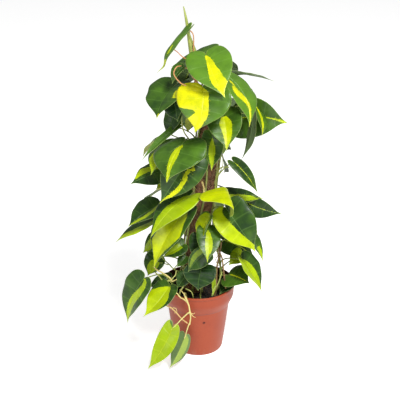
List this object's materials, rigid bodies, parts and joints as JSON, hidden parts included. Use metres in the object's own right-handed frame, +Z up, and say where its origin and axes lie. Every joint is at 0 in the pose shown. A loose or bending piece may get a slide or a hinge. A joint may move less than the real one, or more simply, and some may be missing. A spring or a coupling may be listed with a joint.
{
  "type": "potted philodendron",
  "caption": "Variegated heart-leaf philodendron climbing a leaning coir pole in a round plastic nursery pot, with one stem trailing over the rim.",
  "frame": {"origin": "centre of the pot's flat base, on the surface that it stands on", "axes": "+Z up; the side seen in the picture faces -Y, with +X to its right"},
  "size_m": [0.2702, 0.1867, 0.5741],
  "materials": {
    "pot_plastic": "satin",
    "soil": "matte",
    "coir": "matte",
    "stake_wood": "matte",
    "foliage": "satin"
  },
  "bodies": {
    "root": {"pot": "pot_plastic", "soil": "soil", "pole_coir": "coir", "pole_stake": "stake_wood", "vine_front": "foliage", "vine_front_right": "foliage", "vine_right": "foliage", "vine_left": "foliage", "vine_front_left": "foliage", "vine_back_left": "foliage", "vine_back_right": "foliage", "shoot_left": "foliage", "shoot_front": "foliage", "vine_trailing": "foliage"}
  },
  "joints": []
}
